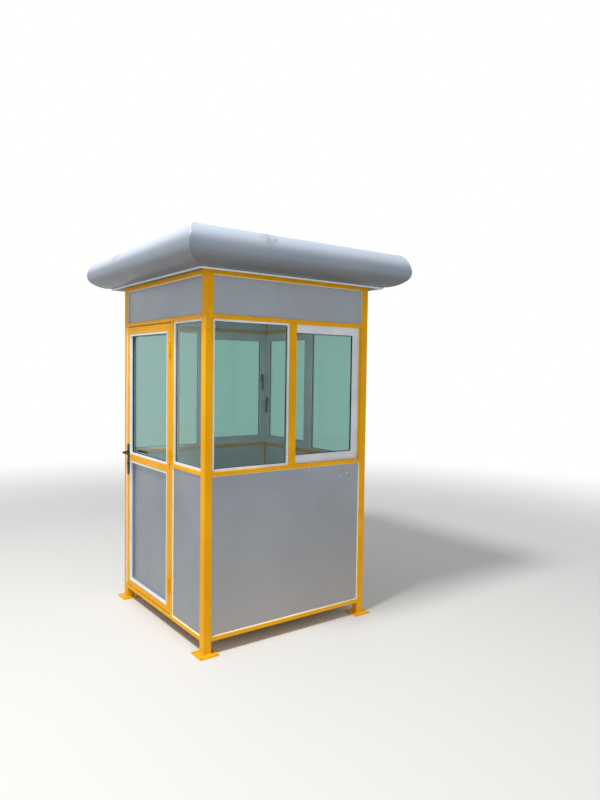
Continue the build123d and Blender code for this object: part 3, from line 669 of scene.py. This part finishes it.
class Piece:
    """Points and faces of one added piece, and short calls that add forms to it."""

    def __init__(self):
        self.points = []
        self.faces = []

    def skin(self, rings, wrap=False):
        """Quads between closed rings of points: a capped bar, or with wrap a closed loop."""
        start = len(self.points)
        size = len(rings[0])
        for ring in rings:
            self.points += ring
        pairs = [(i, i + 1) for i in range(len(rings) - 1)]
        if wrap:
            pairs.append((len(rings) - 1, 0))
        for a, b in pairs:
            for k in range(size):
                n = (k + 1) % size
                corners = (a * size + k, a * size + n, b * size + n, b * size + k)
                self.faces.append(tuple(start + c for c in corners))
        if not wrap:
            for ring in (0, len(rings) - 1):
                self.faces.append(tuple(start + ring * size + k for k in range(size)))

    def border(self, side, bounds, section, wobble=0.0):
        """A closed section of (inset, y) pairs swept round a rectangle on a wall, mitred."""
        x0, x1, z0, z1 = bounds
        counts = [max(1, round(run / WOBBLE_STEP)) if wobble else 1 for run in (x1 - x0, z1 - z0)]
        rings = []
        for inset, y in section:
            corners = [(x0 + inset, z0 + inset), (x1 - inset, z0 + inset),
                       (x1 - inset, z1 - inset), (x0 + inset, z1 - inset)]
            ring = []
            for k, (x, z) in enumerate(corners):
                to_x, to_z = corners[(k + 1) % 4]
                count = counts[k % 2]
                for i in range(count):
                    p = on_wall(side, x + (to_x - x) * i / count, y, z + (to_z - z) * i / count)
                    shift = [wobble * jitter(p + Vector((WOBBLE_APART * axis, 0, 0)), WOBBLE_PITCH)
                             for axis in range(3)]
                    ring.append(p + Vector(shift))
            rings.append(ring)
        self.skin(rings, wrap=True)

    def lathe(self, centre, outward, profile, sides):
        """A turned form: (radius, rise) pairs about a line from centre along outward."""
        turn = outward.to_track_quat("Z", "Y")
        angles = [2 * pi * k / sides for k in range(sides)]
        self.skin([[centre + turn @ Vector((radius * cos(a), radius * sin(a), rise))
                    for a in angles] for radius, rise in profile])

    def tube(self, path, radii, across, sides=8):
        """A round bar along a path in one plane, whose normal is across."""
        rings = []
        for k, (p, radius) in enumerate(zip(path, radii)):
            ahead = path[min(k + 1, len(path) - 1)] - path[max(k - 1, 0)]
            up = ahead.cross(across).normalized()
            angles = [2 * pi * i / sides for i in range(sides)]
            rings.append([p + radius * (cos(a) * up + sin(a) * across) for a in angles])
        self.skin(rings)

    def plate(self, side, centre, size, corner, section):
        """A rounded rectangle on a wall: (inset, y) pairs from its back to its face."""
        rings = []
        for inset, y in section:
            ring = []
            for quarter, signs in enumerate(((1, 1), (-1, 1), (-1, -1), (1, -1))):
                x, z = [middle + (span / 2 - corner) * sign
                        for middle, span, sign in zip(centre, size, signs)]
                for k in range(CORNER_STEPS + 1):
                    angle = quarter * pi / 2 + k * pi / (2 * CORNER_STEPS)
                    ring.append(on_wall(side, x + (corner - inset) * cos(angle), y,
                                        z + (corner - inset) * sin(angle)))
            rings.append(ring)
        self.skin(rings)

    def done(self, name, material, body="root", stands_for=None):
        """Make the object, dress it and let it ride on its body."""
        mesh = bpy.data.meshes.new(name)
        mesh.from_pydata(self.points, [], self.faces)
        shell = bmesh.new()
        shell.from_mesh(mesh)
        bmesh.ops.recalc_face_normals(shell, faces=shell.faces)
        shell.to_mesh(mesh)
        shell.free()
        mesh.shade_smooth()
        mesh.set_sharp_from_angle(angle=radians(SHARP_ANGLE))
        mesh.materials.append(MATERIALS[material])
        piece = bpy.data.objects.new(name, mesh)
        bpy.context.scene.collection.objects.link(piece)
        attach(piece, body)
        if stands_for:
            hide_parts(stands_for)


def sealant_beads():
    """Tooled sealant between each panel and its tubes."""
    beads = Piece()
    panels = [("upper_panels", side) for side in WALLS]
    panels += [(f"lower_panel_{side}", side) for side in WALLS]
    for node, side in panels:
        bounds, face, _ = node_border(node, side)
        section = [(inset, face + depth) for inset, depth in SEALANT_SECTION]
        beads.border(side, bounds, section, SEALANT_WOBBLE)
    beads.done("sealant_beads", "sealant", stands_for="panel_beads")


def lip(edge, glass_y, out, width=GASKET[0], height=GASKET[1]):
    """A gasket's section: inset from the pane's edge, and y from the pane's face towards out."""
    shoulder = glass_y + out * height * GASKET_SHOULDER
    crest = glass_y + out * height
    return [(edge, glass_y), (edge + width, glass_y), (edge + width, shoulder),
            (edge + width * GASKET_CREST, crest), (edge, crest)]


def gaskets():
    """Dark rubber lips round every pane, on both faces."""
    fixed = Piece()
    for side in WALLS:
        bounds, front, back = node_border(f"fixed_glass_{side}", side)
        for y, out in ((front, -1), (back, 1)):
            fixed.border(side, bounds, lip(BEAD_WIDTH, y, out))
    fixed.done("fixed_glass_gaskets", "rubber")
    units = Piece()
    for side in WALLS[:3]:
        bounds, front, back = node_border("window_panes", side)
        for y, out in ((front, -1), (back, 1)):
            units.border(side, bounds, lip(0.0, y, out, *UNIT_GASKET))
    units.done("window_gaskets", "rubber")
    door = Piece()
    bounds, front, back = node_border("door_glass", "left")
    door.border("left", bounds, lip(DOOR_BEAD_WIDTH, front, -1, height=DOOR_PACKING))
    door.border("left", bounds, lip(DOOR_INNER_BEAD_WIDTH, back, 1))
    door.done("door_glass_gaskets", "rubber", "door")


def flush_bead(front):
    """The section of the door's outer bead, in front of a pane or panel whose face is at front."""
    nose = [(DOOR_BEAD_WIDTH + step, DOOR_BEAD_FACE + depth) for step, depth in DOOR_BEAD_NOSE]
    return [(0.0, front), (0.0, DOOR_BEAD_FACE), *nose, (DOOR_BEAD_WIDTH, front)]


def door_beads():
    """White beads round the door's glass and panel, and the packing in front of the panel."""
    beads = Piece()
    bounds, front, back = node_border("door_glass", "left")
    beads.border("left", bounds, flush_bead(front))
    inner_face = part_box("door_beads")[1].x + HALF
    width, chamfer = DOOR_INNER_BEAD_WIDTH, DOOR_INNER_BEAD_CHAMFER
    beads.border("left", bounds, [(0.0, back), (0.0, inner_face), (width - chamfer, inner_face),
                                  (width, inner_face - chamfer), (width, back)])
    bounds, front, _ = node_border("door_panel", "left")
    beads.border("left", bounds, flush_bead(front))
    beads.done("door_glazing_beads", "white_trim", "door", "door_beads")
    packing = Piece()
    behind, crest, foot = [DOOR_BEAD_WIDTH + step for step in DOOR_PACKING_EDGES]
    packing.border("left", bounds, [(behind, front), (behind, front - DOOR_PACKING),
                                    (crest, front - DOOR_PACKING), (foot, front)])
    packing.done("door_panel_packing", "grey_panel", "door")


def latch_strip():
    """A cream seal down the post's edge beside the latch."""
    low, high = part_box("door_frame")
    near = LATCH_STRIP_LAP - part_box("corner_post_back_left")[0].y
    far = near - LATCH_STRIP_WIDTH
    section = [(near + step, depth) for step, depth in LATCH_STRIP_NEAR]
    section += [(far + step, depth) for step, depth in LATCH_STRIP_FAR]
    strip = Piece()
    strip.skin([[on_wall("left", x, y, z) for x, y in section] for z in (low.z, high.z)])
    strip.done("latch_strip", "sealant")


def corner_lines(piece, side, bounds, border, face, out):
    """Hairlines from a frame's outer corners to its inner ones, on the face that looks to out."""
    x0, x1, z0, z1 = bounds
    away = direction(side, 0, out)
    for x, step_x in ((x0, 1), (x1, -1)):
        for z, step_z in ((z0, 1), (z1, -1)):
            ends = [on_wall(side, x + step_x * run, face, z + step_z * run)
                    for run in (HAIRLINE_START, border - HAIRLINE_SHORT)]
            across = (ends[1] - ends[0]).cross(away).normalized()
            piece.skin([[p + wide * across + rise * away for wide, rise in HAIRLINE_SECTION]
                        for p in ends])


def mitre_lines():
    """Fine joints across the corners of the white frames and beads."""
    root = Piece()
    for side in WALLS[:3]:
        bounds, front, back = node_border(f"window_frame_{side}", side, UNIT_DEPTH)
        corner_lines(root, side, bounds, UNIT_BORDER - UNIT_LINE_SHORT, back, 1)
        corner_lines(root, side, bounds, UNIT_FACE_BORDER, front, -1)
    for side in WALLS:
        bounds, front, _ = node_border("fixed_glass_beads", side)
        corner_lines(root, side, bounds, BEAD_WIDTH, front, -1)
    root.done("white_frame_mitres", "rubber")
    door = Piece()
    for node in ("door_glass", "door_panel"):
        bounds = node_border(node, "left")[0]
        corner_lines(door, "left", bounds, DOOR_BEAD_WIDTH, DOOR_BEAD_FACE, -1)
    door.done("door_bead_mitres", "rubber", "door")


def screw(piece, centre, outward, size):
    """A pan head with a small socket."""
    radius, rise = size
    head = [(radius * wide, rise * high) for wide, high in SCREW_HEAD]
    piece.lathe(centre, outward, head, SCREW_SIDES)


def hinge_screws():
    """Painted screws in the hinge plates."""
    pin = Vector(frame["joints"][0]["pos_m"])
    for node, body, sign in (("jamb_hinge_leaves", "root", 1), ("door_hinge_leaves", "door", -1)):
        heads = Piece()
        # Each hinge's foot is the lowest level, or the first one above a large gap
        levels = sorted(v.co.z for v in NODES[node].data.vertices)
        starts = [levels[0]] + [b for a, b in zip(levels, levels[1:]) if b - a > HINGE_APART]
        x = -pin.y + sign * HINGE_SCREW_OUT
        for start in starts:
            for share in HINGE_SCREW_SHARES:
                spot = on_wall("left", x, -HINGE_PLATE, start + share * HINGE_LENGTH)
                screw(heads, spot, Vector((-1, 0, 0)), HINGE_SCREW)
        heads.done(f"{node.split('_')[0]}_hinge_screws", "frame_paint", body)


def lever_path(x, reach):
    """The lever's middle line: x along the wall, and how far it stands off the leaf's face."""
    arm = reach - LEVER_AXIS_IN
    path = [(x, LEVER_ROOT)]
    for k in range(LEVER_BEND_STEPS + 1):
        turn = k / LEVER_BEND_STEPS * pi / 2
        path.append((x + LEVER_BEND * (1 - cos(turn)), arm - LEVER_BEND + LEVER_BEND * sin(turn)))
    for share in LEVER_SHARES:
        path.append((x + LEVER_BEND + share * (LEVER_LENGTH - LEVER_BEND),
                     arm - LEVER_BOW * sin(share * pi)))
    return path


def lever_handles():
    """Back plates, cranked levers and key cylinders on both faces of the latch stile."""
    low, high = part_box("door_handle_set")
    _, _, face, back, _, _ = wall_box("door_frame", "left")
    x = -high.y + LOCK_PLATE[0] / 2
    z = (low.z + high.z) / 2
    lever_z = z + LEVER_UP
    lock_z = z - LOCK_DOWN
    fittings = Piece()
    screws = Piece()
    for start, out, reach in ((face, -1, -HALF - low.x), (back, 1, high.x + HALF - back)):
        away = direction("left", 0, out)
        section = [(inset, start + out * rise) for inset, rise in LOCK_PLATE_SECTION]
        fittings.plate("left", (x, z), LOCK_PLATE, LOCK_PLATE_CORNER, section)
        top = start + out * LOCK_PLATE_RISE
        neck = COLLAR + ((NECK_RADIUS, reach - NECK_SHORT),)
        fittings.lathe(on_wall("left", x, top, lever_z), away, neck, TURNED_SIDES)
        spots = [on_wall("left", px, start + out * py, lever_z) for px, py in lever_path(x, reach)]
        fittings.tube(spots, LEVER_RADII, Vector((0, 0, 1)), LEVER_SIDES)
        fittings.lathe(on_wall("left", x, top, lock_z), away, LOCK_BARREL, TURNED_SIDES)
        section = [(0.0, top + out * rise) for rise in KEY_SLOT_RISES]
        fittings.plate("left", (x, lock_z), KEY_SLOT, KEY_SLOT_CORNER, section)
        for end in (-1, 1):
            level = z + end * (LOCK_PLATE[1] / 2 - LOCK_SCREW_IN)
            screw(screws, on_wall("left", x, top, level), away, LOCK_SCREW)
    fittings.done("lever_handles", "black_hardware", "door", "door_handle_set")
    screws.done("lock_plate_screws", "steel", "door")


def foot_welds():
    """A rippled weld round each post on its plate."""
    welds = Piece()
    for signs in ((-1, -1), (-1, 1), (1, -1), (1, 1)):
        centre = Vector((*signs, 0)) * (HALF - POST / 2)
        rings = []
        for out, rise in WELD_SECTION:
            ring = []
            for k in range(4 * WELD_STEPS):
                side, step = divmod(k, WELD_STEPS)
                along = (step / WELD_STEPS - 0.5) * POST
                wobble = jitter(centre + Vector((k * WELD_WOBBLE_STEP, 0, 0)), WELD_WOBBLE_PITCH)
                ripple = 1 + WELD_RIPPLE * sin(k * WELD_RIPPLE_TURN) + WELD_WOBBLE * wobble
                reach = POST / 2 + out * ripple
                spot = Vector((along * (1 + 2 * out * ripple / POST), -reach, 0))
                height = PLATE_TOP + max(rise, 0) * ripple + min(rise, 0)
                ring.append(centre + quarter_turns(side) @ spot + Vector((0, 0, height)))
            rings.append(ring)
        welds.skin(rings, wrap=True)
    welds.done("foot_welds", "frame_paint")


def nose_outline(side):
    """A roof edge's outer curve where its sheet is cut at the seam: (y, z) pairs, foot to rim."""
    mesh = NODES[f"fascia_{side}"].data
    middle_y, middle_z = NOSE_MIDDLE
    spots = set()
    for face in mesh.polygons:
        normal = quarter_turns(-WALLS.index(side)) @ face.normal
        if abs(normal.x) > CUT_LOOKS_ALONG:
            continue
        for index in face.vertices:
            x, y, z = from_wall(side, mesh.vertices[index].co)
            out = (y - middle_y) * normal.y + (z - middle_z) * normal.z
            at_flange = y > FLANGE_LINE and z < middle_z
            if out > OUTER_SKIN and 0 < x + SEAM_PLACE < SEAM_NEAR and not at_flange:
                spots.add((round(y, 5), round(z, 5)))
    return sorted(spots, key=lambda q: atan2(q[1] - middle_z, middle_y - q[0]))


def roof_joints():
    """Grey sealant in the seams and mitres of the roof edge."""
    joints = Piece()
    for side in WALLS:
        across = direction(side, 1, 0)
        radius, sunk = SEAM_BEAD
        seam = [on_wall(side, -SEAM_PLACE, y + sunk, z) for y, z in nose_outline(side)]
        joints.tube(seam, [radius] * len(seam), across)
        radius, sunk = MITRE_BEAD
        corner = nose_outline("front" if side in ("front", "right") else "back")
        mitre = [on_wall(side, -HALF + y + sunk, y + sunk, z) for y, z in corner]
        joints.tube(mitre, [radius] * len(mitre), (across - direction(side, 0, 1)).normalized())
    joints.done("roof_joints", "grey_sealant")


def eaves_joint():
    """Dirty sealant where the roof's sheets meet the eaves strips."""
    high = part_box("eaves_strips")[1]
    level = high.z - EAVES_SHOWING
    joint = Piece()
    for side in WALLS:
        joint.skin([[on_wall(side, end * (high.x - y), HALF - high.x + y, level + z)
                     for y, z in EAVES_JOINT_SECTION] for end in (-1, 1)])
    joint.done("eaves_joint", "grey_sealant")


def roof_screws():
    """Screws through the rim of the roof sheet."""
    mesh = NODES["roof_top"].data
    sheet = BVHTree.FromPolygons([v.co for v in mesh.vertices],
                                 [face.vertices[:] for face in mesh.polygons])
    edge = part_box("roof_top")[1].x - ROOF_SCREW_IN
    heads = Piece()
    for side in WALLS:
        for k in range(ROOF_SCREWS):
            along = (k / (ROOF_SCREWS - 1) - 0.5) * 2 * (edge - ROOF_SCREW_OFF_CORNER)
            above = on_wall(side, along, HALF - edge, ROOF_TOP_EDGE + 1)
            spot, upward = sheet.ray_cast(above, Vector((0, 0, -1)))[:2]
            screw(heads, spot, upward, ROOF_SCREW)
    heads.done("roof_screws", "steel")


def weather_seal():
    """A rubber strip on the door stops, just clear of the closed leaf."""
    x0, x1, y0, _, z0, z1 = wall_box("door_stops", "left")
    near, far, foot, head = x0 + SEAL_IN, x1 - SEAL_IN, z0 + SEAL_FOOT, z1 - SEAL_IN
    seal = Piece()
    spots = [(near, foot), (near, head), (far, head), (far, foot)]
    for ends in zip(spots, spots[1:]):
        upright = ends[0][0] == ends[1][0]
        seal.skin([[on_wall("left", x + (wide if upright else 0), y0 + depth,
                            z + (0 if upright else wide)) for wide, depth in SEAL_SECTION]
                   for x, z in ends])
    seal.done("door_seal", "rubber")


def camera():
    """The photo's viewpoint."""
    turn = Matrix.Rotation(radians(CAMERA_YAW), 3, "Z")
    tilt = Matrix.Rotation(radians(90 + CAMERA_PITCH), 3, "X")
    roll = Matrix.Rotation(radians(CAMERA_ROLL), 3, "Z")
    data = bpy.data.cameras.new("camera")
    data.sensor_width = SENSOR
    data.lens = FOCAL_PIXELS / IMAGE_HEIGHT * SENSOR
    data.clip_end = CAMERA_REACH
    seen = bpy.data.objects.new("camera", data)
    seen.matrix_world = Matrix.Translation(CAMERA_PLACE) @ (turn @ tilt @ roll).to_4x4()
    bpy.context.scene.collection.objects.link(seen)
    bpy.context.scene.camera = seen


def seen_rays(nodes, links):
    """1 for rays from the camera, a mirror or through glass, which see a white background."""
    rays = nodes.new("ShaderNodeLightPath").outputs
    total = rays["Is Camera Ray"]
    for kind in ("Is Glossy Ray", "Is Transmission Ray"):
        node = nodes.new("ShaderNodeMath")
        node.operation = "MAXIMUM"
        links.new(total, node.inputs[0])
        links.new(rays[kind], node.inputs[1])
        total = node.outputs[0]
    return total


def world():
    """An even light from all round, and a white background."""
    sky = bpy.data.worlds.new("world")
    sky.use_nodes = True
    nodes, links = sky.node_tree.nodes, sky.node_tree.links
    nodes.clear()
    mixed = nodes.new("ShaderNodeMixShader")
    links.new(seen_rays(nodes, links), mixed.inputs[0])
    for socket, strength in zip(mixed.inputs[1:], (WORLD_LIGHT, 1.0)):
        shade = nodes.new("ShaderNodeBackground")
        shade.inputs["Color"].default_value = (1, 1, 1, 1)
        shade.inputs["Strength"].default_value = strength
        links.new(shade.outputs[0], socket)
    links.new(mixed.outputs[0], nodes.new("ShaderNodeOutputWorld").inputs[0])
    bpy.context.scene.world = sky


def floor():
    """A pale floor that fades into the white background away from the booth."""
    s = Shade("studio_floor")
    s.finish(linear(FLOOR), FLOOR_ROUGHNESS)
    far = s.ramp(s.length(s.stretch(1, 1, 0)), *FLOOR_FADE)
    share = s.times(far, seen_rays(s.nodes, s.material.node_tree.links))
    s.blend(share, s.nodes.new("ShaderNodeEmission"))
    corners = [(x * FLOOR_RADIUS, y * FLOOR_RADIUS, -FLOOR_GAP)
               for x, y in ((-1, -1), (1, -1), (1, 1), (-1, 1))]
    mesh = bpy.data.meshes.new("studio_floor")
    mesh.from_pydata(corners, [], [(0, 1, 2, 3)])
    mesh.materials.append(s.material)
    ground = bpy.data.objects.new("studio_floor", mesh)
    bpy.context.scene.collection.objects.link(ground)


def lamps():
    """Round area lamps that aim at the booth."""
    for name, values in LAMPS.items():
        data = bpy.data.lights.new(name, "AREA")
        data.shape = "DISK"
        data.size = values["size"]
        data.energy = values["power"]
        lamp = bpy.data.objects.new(name, data)
        place = Vector(values["place"])
        turn = (Vector(LIGHT_AIM) - place).to_track_quat("-Z", "Y")
        lamp.matrix_world = Matrix.Translation(place) @ turn.to_matrix().to_4x4()
        bpy.context.scene.collection.objects.link(lamp)


dress_nodes()
sealant_beads()
gaskets()
door_beads()
latch_strip()
mitre_lines()
hinge_screws()
lever_handles()
foot_welds()
roof_joints()
eaves_joint()
roof_screws()
weather_seal()
camera()
world()
floor()
lamps()
bpy.context.scene.view_settings.view_transform = "Standard"
